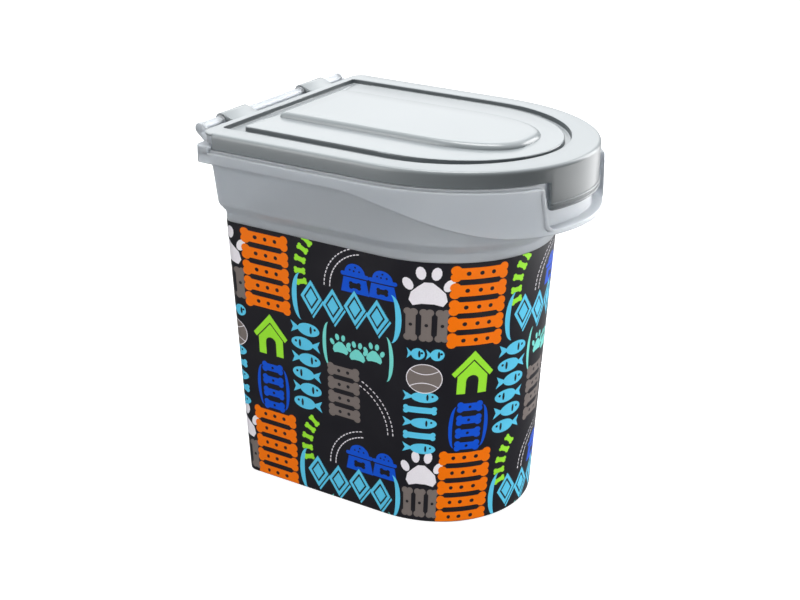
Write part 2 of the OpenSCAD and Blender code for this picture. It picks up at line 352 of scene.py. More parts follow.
def add_seat_rib(bm):
    """Low rib on the ledge, just under the lid's skirt, open at the notch and the back."""
    outer, inner = outline(widen(LID_RIM, 0.4), TOE), outline(widen(LID_RIM, -1.8), TOE)
    low, high = LEDGE_Z - 1, LEDGE_Z + 2
    section = [(at(inner, low), 0), (at(outer, low), 0), (at(outer, high), 0.5),
               (at(inner, high), 0.5), (at(inner, low), 0)]
    rows = rounded(section)[:-1]
    notch_half = NOTCH_HALF + (LEDGE_Z - NOTCH_Z - NOTCH_R) * NOTCH_SLOPE + 0.8
    keep = np.where(IS_FRONT, np.abs(outer[:, 0]) > notch_half, outer[:, 1] < SHELF_FRONT)
    start = int(np.argmax(~keep & np.roll(keep, -1)))
    order = np.roll(np.arange(COLUMNS), -start - 1)
    run = []
    for i in order:
        if keep[i]:
            run.append(i)
        elif run:
            add_strip(bm, rows, run)
            run = []
    if run:
        add_strip(bm, rows, run)


def add_strip(bm, rows, run):
    """Closed bar through the given columns of some rows, which go round its section."""
    part = bmesh.new()
    rings = [[part.verts.new(p) for p in place([row[i] for row in rows])] for i in run]
    n = len(rows)
    for a, b in zip(rings, rings[1:]):
        for i in range(n):
            j = (i + 1) % n
            part.faces.new((a[i], b[i], b[j], a[j]))
    part.faces.new(rings[0])
    part.faces.new(rings[-1][::-1])
    bmesh.ops.recalc_face_normals(part, faces=part.faces)
    add_copy(bm, part)


def add_shelf(bm):
    """Raised shelf along the back edge of the ledge."""
    inner, outer = outline(widen(RIM, -0.6), TOE), outline(LEDGE, TOE)
    low = LEDGE_Z - 1.7
    part = bmesh.new()
    # A ring of four sides; the last ring is joined back to the first
    section = [(at(outer, low), 0), (at(outer, SHELF_Z), 1.2),
               (at(inner, SHELF_Z), 0), (at(inner, low), 0)]
    add_loft(part, rounded(section), closed=True)
    bmesh.ops.bisect_plane(part, geom=part.verts[:] + part.edges[:] + part.faces[:],
                           plane_co=place([(0, SHELF_FRONT, 0)])[0], plane_no=(0, 1, 0), clear_inner=True)
    rim_edges = [e for e in part.edges if e.is_boundary]
    bmesh.ops.holes_fill(part, edges=rim_edges, sides=0)
    add_copy(bm, part)


def add_hinge_bar(bm):
    """Fluted bar with its collars and the two posts that carry it."""
    n = 64
    angles = np.linspace(0, 2 * math.pi, n + 1)[:-1]
    groove = sum(np.exp(-((np.degrees(angles) - c) / 9.0) ** 2) for c in (62, 118, 242, 298))
    radius = BAR_R - 0.35 * groove

    def ring(x):
        y, z = BAR_Y + radius * np.cos(angles), BAR_Z + radius * np.sin(angles)
        return np.stack([np.full(n, x), y, z], -1)

    end = BAR_HALF + 1
    add_loft(bm, [ring(-end), ring(end)], (-end, BAR_Y, BAR_Z), (end, BAR_Y, BAR_Z))
    for side in (-1, 1):
        for end in (-1, 1):
            x = side * CLIP_X + end * (CLIP_W / 2 + 1.5)
            add_prism(bm, circle(BAR_Y, BAR_Z, 5.0, steps=48), x - 1, x + 1, 0.5)
        x0, x1 = sorted((side * BAR_HALF, side * (BAR_HALF + POST_T)))
        in_rim = RIM[2] - WALL / 2
        eye = [*circle(BAR_Y, BAR_Z, POST_R, 155, -48, 36),
               (LEDGE[2] - 0.5, SHELF_Z - 8), (in_rim, SHELF_Z - 8), (in_rim, BAR_Z - 4)]
        add_prism(bm, eye, x0, x1, 0.9)


def add_notch_bead(bm):
    """Rounded bead down both sides of the notch's edge and round its lower corners."""
    offset, half_w, half_d = 2.3, 2.2, 0.9
    r = NOTCH_R + offset
    cx, cz = NOTCH_HALF - NOTCH_R, NOTCH_Z + NOTCH_R
    flat = [(cx + r + (z - cz) * NOTCH_SLOPE, z) for z in np.linspace(LEDGE_Z - 0.6, cz, 14)]
    flat += [(cx + r * math.cos(t), cz + r * math.sin(t)) for t in np.radians(np.linspace(-6, -58, 10))]
    flat = np.array(flat)
    run = np.gradient(flat, axis=0)
    run /= np.linalg.norm(run, axis=1, keepdims=True)
    for side in (-1, 1):
        x, z = flat[:, 0], flat[:, 1]
        a, b = LEDGE[0], LEDGE[1]
        y = -b * np.sqrt(1 - (x / a) ** 2)
        normal = np.stack([side * x / a ** 2, y / b ** 2, np.zeros(len(x))], -1)
        normal /= np.linalg.norm(normal, axis=1, keepdims=True)
        along = np.stack([side * run[:, 0], np.gradient(y), run[:, 1]], -1)
        along /= np.linalg.norm(along, axis=1, keepdims=True)
        across = np.cross(along, normal)
        path = np.stack([side * x, y, z], -1) - normal * 0.35
        add_tube(bm, path, across * half_w, normal * half_d)


def make_tub():
    """The tub with its rib, shelf, hinge bar and notch bead, as one moulding."""
    bm = bmesh.new()
    add_loft(bm, rounded(tub_section()), (0, 20, FOOT_LIFT), (0, 20, FLOOR_Z))
    add_seat_rib(bm)
    add_shelf(bm)
    add_hinge_bar(bm)
    add_notch_bead(bm)
    return finish_mesh("tub_moulding", bm)


# ---------------------------------------------------------------- the lid
def skirt_low():
    """Height of the skirt's lower edge: the tab hangs lower, and the back has none."""
    p = outline(LID_RIM, TOE)
    m = np.abs(p[:, 0])
    r = 3.0
    fillet = SKIRT_Z - r + np.sqrt(np.maximum(0, r ** 2 - np.minimum(TAB_HALF + r - m, r) ** 2))
    low = np.where(m < TAB_HALF, TAB_Z, np.where(m < TAB_HALF + r, fillet, SKIRT_Z))
    edge = np.clip((m - (TAB_HALF - 2)) / 2, 0, 1)
    corner = TAB_Z + 2 - 2 * np.sqrt(np.maximum(0, 1 - edge ** 2))
    low = np.where(m < TAB_HALF, np.maximum(low, corner), low)
    low = np.where(IS_FRONT, low, SKIRT_Z)
    return np.where(p[:, 1] > SKIRT_BACK, LID_Z - LID_T - 0.1, low)


def raised_edge(d, lift, steps=8):
    """Entries over the raised centre's rounded edge, inset by d and lifted."""
    entries = []
    for t in np.linspace(0, math.pi / 2, steps + 1):
        z = LID_Z + lift + (RAISED_Z - LID_Z) * math.sin(t)
        entries.append((at(raised_outline(d + RAISED_ROUND * (1 - math.cos(t))), z), 0))
    return entries


def lid_section():
    """Rows out along the lid's underside, down and up its skirt, and in over its top."""
    under = LID_Z - LID_T
    rim, rim_in = outline(LID_RIM, TOE), outline(widen(LID_RIM, -LID_T), TOE)
    plug = widen(RIM, -WALL - PLUG_GAP)
    plug_out, plug_in = outline(plug, TOE), outline(widen(plug, -LID_T), TOE)
    out, out_under = outline(CHANNEL_OUT), outline(widen(CHANNEL_OUT, LID_T))
    inner, inner_under = outline(CHANNEL_IN), outline(widen(CHANNEL_IN, -LID_T))
    low = skirt_low()
    return [
        (at(raised_outline(30), RAISED_Z - LID_T), 0),
        *raised_edge(LID_T, -LID_T)[::-1],
        (at(inner_under, under), 0.6),
        (at(inner_under, CHANNEL_Z - LID_T), 0.8),
        (at(out_under, CHANNEL_Z - LID_T), 0.8),
        (at(out_under, under), 0.6),
        (at(plug_in, under), 0.8),
        (at(plug_in, PLUG_Z), 0.7),
        (at(plug_out, PLUG_Z), 0.9),
        (at(plug_out, under), 0.8),
        (at(rim_in, under), 1.0),
        (at(rim_in, low), 0.6),
        (at(rim, low), 0.7),
        (at(rim, LID_Z), 3.4),
        (at(out, LID_Z), 1.0),
        (at(out, CHANNEL_Z), 1.6),
        (at(inner, CHANNEL_Z), 0.6),
        (at(inner, LID_Z), 1.4),
        *raised_edge(0, 0),
        (at(raised_outline(30), RAISED_Z), 0),
    ]


def add_tab_beads(bm):
    """Two rounded beads along the tab's lower edge."""
    o = widen(LID_RIM, -0.2)
    x = np.concatenate([[-45.9, -45.5, -45, -44.4], np.linspace(-43, 43, 44), [44.4, 45, 45.5, 45.9]])
    y = -o[1] * np.sqrt(1 - (x / o[0]) ** 2)
    normal = np.stack([x / o[0] ** 2, y / o[1] ** 2, 0 * x], -1)
    normal /= np.linalg.norm(normal, axis=1, keepdims=True)
    up = np.tile([0, 0, 1.15], (len(x), 1))
    for z in (289.2, 293.0):
        add_tube(bm, np.stack([x, y, np.full(len(x), z)], -1), normal * 1.3, up, 14)


def add_clip(bm, x):
    """Spring clip over the hinge bar, with its arm from the lid's rim."""
    y0, top = LID_RIM[2] - 2, LID_Z
    mouth_out = math.degrees(math.asin(CLIP_MOUTH / CLIP_R))
    mouth_in = math.degrees(math.asin(CLIP_MOUTH / CLIP_BORE))
    section = [(y0, top - LID_T), (y0, top), (LID_RIM[2] + 1.5, top)]
    section += circle(BAR_Y, BAR_Z, CLIP_R, 112, -90 + mouth_out, 30)
    section += circle(BAR_Y, BAR_Z, CLIP_BORE, -90 + mouth_in, 270 - mouth_in, 36)
    section += circle(BAR_Y, BAR_Z, CLIP_R, 270 - mouth_out, 176, 10)
    add_prism(bm, section, x - CLIP_W / 2, x + CLIP_W / 2, 0.35)


def make_lid():
    """The lid with its tab's beads and its two clips, as one moulding."""
    bm = bmesh.new()
    add_loft(bm, rounded(lid_section()), (0, 20, RAISED_Z - LID_T), (0, 20, RAISED_Z))
    add_tab_beads(bm)
    for side in (-1, 1):
        add_clip(bm, side * CLIP_X)
    return finish_mesh("lid_moulding", bm)


def inside(o, x, y):
    """Whether a place in millimetres is within an outline, leaving out its back corners."""
    half, reach, back = o[:3]
    return abs(x) < half and y < back and (x / half) ** 2 + min(0, y / reach) ** 2 < 1


def finish_panel_and_shade_groove(lid):
    """The panel inside the channel takes the lid's second finish, and the channel's
    walls take its third material, a darker grey that is painted shade for the groove."""
    shift = np.array([0, SHIFT_Y, SHIFT_Z])
    for f in lid.data.polygons:
        x, y, z = 1000 * np.array(f.center) - shift
        if z < CHANNEL_Z - 0.1 or f.normal.z < -0.1:
            continue
        if inside(CHANNEL_IN, x, y):
            f.material_index = 1
        # The channel's walls take the darker grey: painted shade for the shadow deep in the groove
        if abs(f.normal.z) < 0.5 and z < LID_Z - 0.4 and inside(widen(CHANNEL_OUT, 0.2), x, y):
            f.material_index = 2


# ---------------------------------------------------------------- the printed film
INKS = {
    "charcoal": (28, 27, 33), "orange": (255, 120, 0), "sky": (96, 205, 240), "aqua": (122, 224, 214),
    "blue": (12, 84, 214), "lime": (160, 236, 56), "stone": (122, 113, 109), "white": (240, 236, 242),
}
INK_NAMES = list(INKS)


def ellipse(cx, cy, rx, ry=None, turn=0.0, n=20):
    """Points of an ellipse, or of a circle, turned by an angle in radians."""
    ry = rx if ry is None else ry
    c, s = math.cos(turn), math.sin(turn)
    points = [(rx * math.cos(t), ry * math.sin(t)) for t in np.linspace(0, 2 * math.pi, n + 1)[:-1]]
    return [(cx + c * x - s * y, cy + s * x + c * y) for x, y in points]


def box(cx, cy, w, h, r=0.0, turn=0.0):
    """Rectangle with corners rounded by r, turned by an angle in radians."""
    r = min(r, w / 2, h / 2)
    if r <= 0.05:
        points = [(-w / 2, -h / 2), (w / 2, -h / 2), (w / 2, h / 2), (-w / 2, h / 2)]
    else:
        points = []
        for sx, sy, start in ((1, -1, -90), (1, 1, 0), (-1, 1, 90), (-1, -1, 180)):
            for t in np.radians(np.linspace(start, start + 90, 4)):
                points.append((sx * (w / 2 - r) + r * math.cos(t), sy * (h / 2 - r) + r * math.sin(t)))
    c, s = math.cos(turn), math.sin(turn)
    return [(cx + c * x - s * y, cy + s * x + c * y) for x, y in points]


def bone(ink, cx, cy, length, height, turn=0.0, dots=0):
    """A bone: a shaft with two knobs at each end, and dark dots along it."""
    c, s = math.cos(turn), math.sin(turn)
    r = height * 0.29
    shapes = [(ink, box(cx, cy, length - 2 * r, height * 0.70, 0.6, turn))]
    for ex in (-1, 1):
        for ey in (-1, 1):
            x, y = ex * (length / 2 - r), ey * (height / 2 - r)
            shapes.append((ink, ellipse(cx + c * x - s * y, cy + s * x + c * y, r, n=12)))
    for i in range(dots):
        x = (i - (dots - 1) / 2) * (length - 4 * r) / dots
        shapes.append(("charcoal", ellipse(cx + c * x, cy + s * x, height * 0.13, n=10)))
    return shapes


def fish(ink, cx, cy, length, height, side):
    """A biscuit in the shape of a fish: side 1 swims to the right and -1 to the left."""
    body = ellipse(cx + side * length * 0.12, cy, length * 0.38, height / 2, n=28)
    tail = [(cx - side * length * x, cy + height * y)
            for x, y in ((0.16, 0), (0.5, 0.46), (0.42, 0), (0.5, -0.46))]
    gill = ellipse(cx + side * length * 0.2, cy, height * 0.1, height * 0.3, n=10)
    eye = ellipse(cx + side * length * 0.34, cy + height * 0.1, height * 0.1, n=10)
    return [(ink, body), (ink, tail), ("charcoal", gill), ("charcoal", eye)]


def bowl(ink, cx, cy, w, h):
    """A feeding bowl with a heap of food in it and a dark bone on its side."""
    heap = [(cx + w * 0.36 * math.cos(t), cy + h * 0.16 + h * 0.34 * math.sin(t))
            for t in np.linspace(0, math.pi, 15)]
    rim = box(cx, cy + h * 0.12, w, h * 0.14, h * 0.07)
    side = [(cx + w * x, cy + h * y) for x, y in ((-0.5, -0.5), (0.5, -0.5), (0.4, 0.01), (-0.4, 0.01))]
    crumbs = [("charcoal", ellipse(cx + w * x, cy + h * y, h * 0.035, n=8))
              for x, y in ((-0.17, 0.27), (0.02, 0.38), (0.16, 0.26), (-0.03, 0.25))]
    mark = bone("charcoal", cx, cy - h * 0.24, w * 0.42, h * 0.26)
    return [(ink, heap), *crumbs, (ink, rim), (ink, side), *mark]


def paw(ink, cx, cy, size):
    """A paw print: one pad and four toes."""
    pad = [(-0.30, -0.38), (-0.12, -0.33), (0.12, -0.33), (0.30, -0.38), (0.38, -0.26), (0.34, -0.08),
           (0.2, 0.06), (0.08, 0.16), (-0.08, 0.16), (-0.2, 0.06), (-0.34, -0.08), (-0.38, -0.26)]
    shapes = [(ink, [(cx + size * x, cy + size * y) for x, y in pad])]
    for x, y, tilt in ((-0.40, 0.10, 0.5), (-0.15, 0.36, 0.15), (0.15, 0.36, -0.15), (0.40, 0.10, -0.5)):
        toe = ellipse(cx + size * x, cy + size * y, size * 0.10, size * 0.15, tilt, 12)
        shapes.append((ink, toe))
    return shapes


def crescent(ink, cx, cy, width, height, bulge):
    """A moon shape: bulge -1 opens to the right and 1 to the left."""
    t = np.radians(np.linspace(-90, 90, 15))

    def arc(reach, turns):
        return [(cx + bulge * (reach * math.cos(a) - width / 2), cy + height / 2 * math.sin(a))
                for a in turns]
    return [(ink, arc(width, t) + arc(width * 0.45, t[1:-1][::-1]))]


def dashes(ink, cx, cy, rx, ry, start, end, count, length, width):
    """Short dashes along an elliptical arc, from start to end degrees."""
    shapes = []
    for t in np.radians(np.linspace(start, end, count)):
        turn = math.atan2(ry * math.cos(t), -rx * math.sin(t))
        shapes.append((ink, box(cx + rx * math.cos(t), cy + ry * math.sin(t), length, width, 0.0, turn)))
    return shapes


def lozenge(ink, cx, cy, w, h):
    """A diamond with a dark line inside it and a drop shadow under it."""
    def diamond(dx, dy, k):
        x, y = cx + dx, cy + dy
        return [(x, y - h / 2 * k), (x + w / 2 * k, y), (x, y + h / 2 * k), (x - w / 2 * k, y)]
    return [(ink, diamond(1.6, -2.2, 1.0)), ("charcoal", diamond(0.5, -0.7, 1.0)),
            (ink, diamond(0, 0, 0.96)), ("charcoal", diamond(0, 0, 0.66)), (ink, diamond(0, 0, 0.5))]


def ball(cx, cy, r):
    """A play ball with two curved seams."""
    shapes = [("white", ellipse(cx, cy, r, r * 0.9, n=36)),
              ("stone", ellipse(cx, cy, r - 0.7, r * 0.9 - 0.7, n=36))]
    for side in (-1, 1):
        t = np.linspace(-0.88, 0.88, 13)
        seam = [(cx + r * 0.93 * k, cy + side * r * (0.24 + 0.34 * k * k)) for k in t]
        shapes.append(("white", seam + [(x, y + side * 0.75) for x, y in seam[::-1]]))
    return shapes


def kennel(ink, cx, cy, w, h):
    """A little house with an overhanging roof and an arched door."""
    def spots(pairs):
        return [(cx + w * x, cy + h * y) for x, y in pairs]
    walls = spots(((-0.36, -0.5), (0.36, -0.5), (0.36, 0.1), (0, 0.42), (-0.36, 0.1)))
    roof = spots(((-0.5, -0.02), (-0.42, -0.11), (0, 0.3), (0.42, -0.11), (0.5, -0.02), (0, 0.5)))
    gap = [(x, y - 1.5) for x, y in roof]
    return [(ink, walls), ("charcoal", gap), (ink, roof),
            ("charcoal", box(cx, cy - h * 0.36, w * 0.3, h * 0.3, 0)),
            ("charcoal", ellipse(cx, cy - h * 0.2, w * 0.15, n=16))]


def repeat_unit():
    """The shapes of one repeat, in millimetres from the middle of the stack of bones,
    with height measured from the floor."""
    s = []
    for i in range(5):
        s += bone("orange", 0, 174.5 + 14.6 * i, 46, 14.0, dots=3)
    for i, t in enumerate(np.radians([196, 182, 167, 152, 138])):
        x, y = 66 + 32 * math.cos(t), 214 + 40 * math.sin(t)
        s += bone("lime", x, y, 11.5, 6.2, t - math.pi)
    for r in (0, 5.5):
        s += dashes("white", 100, 205, 42 - r, 40 - r, 178, 104, 15, 2.5, 0.95)
    s += bowl("blue", 88, 217, 27, 26) + bowl("blue", 113.5, 217, 25, 25)
    s += crescent("sky", 29.5, 189, 9, 43, -1) + crescent("sky", 125, 189, 9, 43, 1)
    for i in range(4):
        s += lozenge("sky", 44.5 + 21.3 * i, 189 + (-1) ** i * 1.5, 22, 33)
    for i, y in enumerate(np.linspace(159.5, 88, 6)):
        s += fish("sky", 36.8, y, 29, 12, (-1) ** i)
    s += crescent("aqua", 57.5, 151.5, 6.5, 41, -1) + crescent("aqua", 119.5, 151.5, 6.5, 41, 1)
    for i in range(3):
        s += paw("aqua", 72 + 16.4 * i, 151.5 + (-1) ** i * 1.5, 20)
    for i in range(4):
        s += bone("stone", 74, 89.5 + 13.1 * i, 32, 12.4, dots=2)
    for r, count in ((0, 14), (5, 13)):
        s += dashes("white", 68, 80, 54 - r, 50 - r, 2, 62, count, 2.5, 0.95)
    for i, y in enumerate(np.linspace(122, 73, 5)):
        s += bone("sky", 146, y, 29, 8) if i % 2 else fish("sky", 146, y, 30, 10, 1)
    s += paw("white", 149.2, 219, 38)
    for i in range(3):
        s += bone("stone", 136.5 + 12.2 * i, 187.5, 29, 11.2, math.pi / 2, 1)
    for i in range(2):
        s += fish("sky", 141.2 + 15.4 * i, 161.5, 14.6, 10.5, 1)
    s += ball(148.6, 139.2, 15)
    s += kennel("lime", 0.5, 145, 35, 39)
    s += crescent("blue", -13.5, 94, 6, 40, -1) + crescent("blue", 14.5, 94, 6, 40, 1)
    for i in range(4):
        s += bone("blue", 0.6, 76 + 12.3 * i, 22, 10, dots=1)
    return s


UNIT_U, UNIT_V, UNIT_START = 187.6, 168.3, -256.1
FILM_LOW = 0.9


def film_lines():
    """Lengths round the body's outline at mid height, as a place along each column."""
    middle = body_outline(BODY_H / 2, WRAP)
    ring = np.concatenate([middle, middle[:1]])
    run = np.concatenate([[0], np.cumsum(np.linalg.norm(np.diff(ring, axis=0), axis=1))])
    front = np.interp(0, FRONT_X, run[:len(FRONT_X)])
    return run - front, run[-1]


FILM_RUN, FILM_ROUND = film_lines()
FLOOR_RING = np.concatenate([body_outline(0), body_outline(0)[:1]])
TOP_RING = np.concatenate([body_outline(BODY_H), body_outline(BODY_H)[:1]])


def film_points(u, v, out):
    """Places on the body at lengths u round it and heights v, grown outwards by out."""
    u = np.where(u < FILM_RUN[0], u + FILM_ROUND, u)

    def at_u(w):
        w = np.where(w > FILM_RUN[-1], w - FILM_ROUND, w)
        w = np.where(w < FILM_RUN[0], w + FILM_ROUND, w)
        low = np.stack([np.interp(w, FILM_RUN, FLOOR_RING[:, i]) for i in (0, 1)], -1)
        high = np.stack([np.interp(w, FILM_RUN, TOP_RING[:, i]) for i in (0, 1)], -1)
        return low * (1 - v / BODY_H)[:, None] + high * (v / BODY_H)[:, None]

    here, run = at_u(u), at_u(u + 1.2) - at_u(u - 1.2)
    normal = np.stack([run[:, 1], -run[:, 0]], -1)
    normal /= np.linalg.norm(normal, axis=1, keepdims=True)
    edge = np.clip(3.0 - v, 0, 3)
    inset = 3.0 - np.sqrt(np.maximum(9.0 - edge ** 2, 0))
    p = np.column_stack([here + normal * (out - inset)[:, None], v])
    lean = np.where(edge > 0, edge / 3.0, 0)[:, None]
    slope = np.array([[0, 0, -(BODY_TOP[0] - BODY_FLOOR[0]) / BODY_H]])
    n3 = np.column_stack([normal * np.sqrt(1 - lean ** 2), -lean[:, 0]]) + slope * (1 - lean)
    return p, n3 / np.linalg.norm(n3, axis=1, keepdims=True)


def area(shape):
    """Area of a flat shape, negative where its points run clockwise."""
    x, y = np.array(shape).T
    return 0.5 * float(np.sum(x * np.roll(y, -1) - np.roll(x, -1) * y))


def film_faces():
    """The film laid flat and cut along every printed shape: points, triangles, inks."""
    u0, u1 = -FILM_ROUND / 2 + 0.25, FILM_ROUND / 2 - 0.25
    points = [(u0, FILM_LOW), (u1, FILM_LOW), (u1, WRAP_TOP), (u0, WRAP_TOP)]
    faces, inks = [[0, 1, 2, 3]], [0]
    unit = repeat_unit()
    for i in range(-1, 4):
        for j in (-1, 0):
            du, dv = UNIT_START + UNIT_U * i, UNIT_V * j
            for ink, shape in unit:
                moved = [(x + du, y + dv) for x, y in shape]
                xs, ys = [p[0] for p in moved], [p[1] for p in moved]
                if max(xs) < u0 or min(xs) > u1 or max(ys) < FILM_LOW or min(ys) > WRAP_TOP:
                    continue
                if area(moved) < 0:
                    moved.reverse()
                faces.append(list(range(len(points), len(points) + len(moved))))
                points += moved
                inks.append(INK_NAMES.index(ink))
    edges = []

    def line(a, b):
        edges.append((len(points), len(points) + 1))
        points.extend((a, b))

    bends = [u for u in FILM_RUN if u < FILM_RUN[-1] - 0.1]
    bends = [u - FILM_ROUND if u > FILM_ROUND / 2 else u for u in bends]
    last = -9e9
    for u in sorted(bends):
        if u - last > 1.9 and u0 < u < u1:
            line((u, FILM_LOW), (u, WRAP_TOP))
            last = u
    for v in (1.4, 2.1, 3.0, 20, 60, 120, 180, 222):
        line((u0, v), (u1, v))
    made = geometry.delaunay_2d_cdt([Vector(p) for p in points], edges, faces, 0, 1e-4, True)
    kept, tones = [], []
    for tri, owners in zip(made[2], made[5]):
        if 0 in owners:
            kept.append(list(tri))
            tones.append(inks[max(owners)])
    # Points of shapes that the film's edge cuts off are left out
    used, triangles = np.unique(np.array(kept), return_inverse=True)
    flat = np.array([tuple(p) for p in made[0]])[used]
    return flat, triangles.reshape(-1, 3).tolist(), tones


def make_film():
    """Printed film: its outer face, its inner face, and the edges between them."""
    flat, faces, tones = film_faces()
    outer, normal = film_points(flat[:, 0], flat[:, 1], np.full(len(flat), WRAP))
    inner, _ = film_points(flat[:, 0], flat[:, 1], np.full(len(flat), 0.03))
    n = len(flat)
    sides = {}
    for f in faces:
        for a, b in zip(f, f[1:] + f[:1]):
            if (b, a) in sides:
                del sides[b, a]
            else:
                sides[a, b] = True
    all_faces = faces + [[n + i for i in f[::-1]] for f in faces] + [[b, a, a + n, b + n] for a, b in sides]
    mesh = bpy.data.meshes.new("printed_film")
    mesh.from_pydata(place(np.concatenate([outer, inner])).tolist(), [], all_faces)
    mesh.polygons.foreach_set("material_index", tones + [0] * (len(faces) + len(sides)))
    mesh.polygons.foreach_set("use_smooth", [True] * len(all_faces))
    loops = np.zeros((len(mesh.loops), 3))
    vertex = np.zeros(len(mesh.loops), int)
    mesh.loops.foreach_get("vertex_index", vertex)
    both = np.concatenate([normal, -normal])
    loops[:] = both[vertex]
    for k in range(2 * len(faces), len(all_faces)):
        p = mesh.polygons[k]
        for i in p.loop_indices:
            loops[i] = p.normal
    mesh.normals_split_custom_set(loops.tolist())
    mesh.validate()
    obj = bpy.data.objects.new("printed_film", mesh)
    bpy.context.scene.collection.objects.link(obj)
    return obj


# ---------------------------------------------------------------- materials
def linear(rgb):
    """0 to 255 display values to a linear colour."""
    c = np.array(rgb) / 255
    return tuple(np.where(c <= 0.04045, c / 12.92, ((c + 0.055) / 1.055) ** 2.4)) + (1.0,)


class Nodes:
    """Short hand for building one material's nodes."""

    def __init__(self, name):
        self.material = bpy.data.materials.new(name)
        self.material.use_nodes = True
        self.tree = self.material.node_tree
        self.tree.nodes.clear()
        self.output = self.add("ShaderNodeOutputMaterial")
        self.shader = self.add("ShaderNodeBsdfPrincipled")
        self.link(self.shader.outputs[0], self.output.inputs[0])

    def add(self, kind, **values):
        node = self.tree.nodes.new(kind)
        for key, value in values.items():
            if key.startswith("in_"):
                node.inputs[key[3:].replace("_", " ")].default_value = value
            else:
                setattr(node, key, value)
        return node

    def link(self, a, b):
        self.tree.links.new(a, b)

    def set(self, **values):
        for key, value in values.items():
            self.shader.inputs[key.replace("_", " ")].default_value = value

    def noise(self, scale, detail=3.0):
        """Noise in the object's own place, scale in bumps per metre."""
        where = self.add("ShaderNodeTexCoord")
        noise = self.add("ShaderNodeTexNoise", in_Scale=scale, in_Detail=detail, in_Roughness=0.55)
        self.link(where.outputs["Object"], noise.inputs["Vector"])
        return noise.outputs["Fac"]

    def ranged(self, value, low, high):
        """A 0 to 1 value spread between low and high."""
        node = self.add("ShaderNodeMapRange", interpolation_type="SMOOTHSTEP")
        node.inputs["To Min"].default_value = low
        node.inputs["To Max"].default_value = high
        node.inputs["From Min"].default_value = 0.2
        node.inputs["From Max"].default_value = 0.8
        self.link(value, node.inputs["Value"])
        return node.outputs["Result"]

    def mixed(self, value, a, b):
        """A colour between a and b."""
        node = self.add("ShaderNodeMix", data_type="RGBA")
        node.inputs["A"].default_value = a
        node.inputs["B"].default_value = b
        self.link(value, node.inputs["Factor"])
        return node.outputs["Result"]

    def bump(self, layers, distance):
        """Bumps from (value, strength) layers, one on the other."""
        normal = None
        for value, strength in layers:
            node = self.add("ShaderNodeBump", in_Strength=strength, in_Distance=distance)
            self.link(value, node.inputs["Height"])
            if normal is not None:
                self.link(normal, node.inputs["Normal"])
            normal = node.outputs["Normal"]
        self.link(normal, self.shader.inputs["Normal"])


def lid_plastic(name, grey, smooth, rough):
    """Satin grey moulded plastic, faintly uneven in tone and gloss."""
    n = Nodes(name)
    dark, light = linear((grey, grey + 6, grey + 9)), linear((grey + 5, grey + 11, grey + 14))
    n.link(n.mixed(n.noise(7, 1), dark, light), n.shader.inputs["Base Color"])
    n.link(n.ranged(n.noise(16, 1), smooth, rough), n.shader.inputs["Roughness"])
    n.bump([(n.noise(14, 1), 0.05)], 0.0006)
    n.set(IOR=1.6)
    return n.material


def tub_plastic():
    """Milky see-through moulded plastic, with faint flow clouds and soft gloss."""
    n = Nodes("tub_milky_plastic")
    tone = n.mixed(n.noise(7, 1), linear((208, 213, 219)), linear((213, 218, 223)))
    n.link(tone, n.shader.inputs["Base Color"])
    n.link(n.ranged(n.noise(16, 1), 0.285, 0.32), n.shader.inputs["Roughness"])
    n.set(IOR=1.49, Transmission_Weight=0.55, Subsurface_Weight=0.7, Subsurface_Radius=(1.0, 1.0, 1.0),
          Subsurface_Scale=0.006)
    return n.material


def film_ink(name):
    """Semi-gloss printed film in one ink, slightly mottled by the screen."""
    n = Nodes("film_" + name)
    c = np.array(INKS[name], float)
    tone = n.mixed(n.noise(900, 3), linear(c * 0.96), linear(np.minimum(c * 1.03, 255)))
    n.link(tone, n.shader.inputs["Base Color"])
    n.link(n.ranged(n.noise(45, 4), 0.30, 0.42), n.shader.inputs["Roughness"])
    n.bump([(n.noise(24, 2), 0.06), (n.noise(700, 3), 0.05)], 0.0004)
    n.set(IOR=1.47)
    return n.material


def studio_white(glow):
    """Matt white that glows a little, so that no shadow or corner shows on it."""
    n = Nodes("studio_white")
    n.set(Base_Color=(0.5, 0.5, 0.5, 1), Roughness=0.9, Emission_Color=(1, 1, 1, 1), Emission_Strength=glow)
    n.shader.inputs["Specular IOR Level"].default_value = 0.0
    return n.material


# ---------------------------------------------------------------- studio
def make_floor():
    """Pale floor, just under the bin's foot, and a backdrop of the same white round it."""
    size, z = 14.0, cad_box[0][2] - 0.0002
    corners = [(sx * size, sy * size) for sx, sy in ((-1, -1), (1, -1), (1, 1), (-1, 1))]
    bm = bmesh.new()
    bm.faces.new([bm.verts.new((x, y, z)) for x, y in corners])
    floor = finish_mesh("studio_floor", bm)
    bm = bmesh.new()
    low, high = ([bm.verts.new((x, y, h)) for x, y in corners] for h in (z, z + size))
    for i in range(4):
        bm.faces.new((low[i - 1], high[i - 1], high[i], low[i]))
    backdrop = finish_mesh("studio_backdrop", bm)
    for stage, glow in ((floor, 0.85), (backdrop, 1.0)):
        stage.data.materials.append(studio_white(glow))
        # The bounce that it would give comes from the world instead
        stage.visible_diffuse = False
        stage.visible_glossy = False
    backdrop.visible_transmission = False
    backdrop.visible_shadow = False


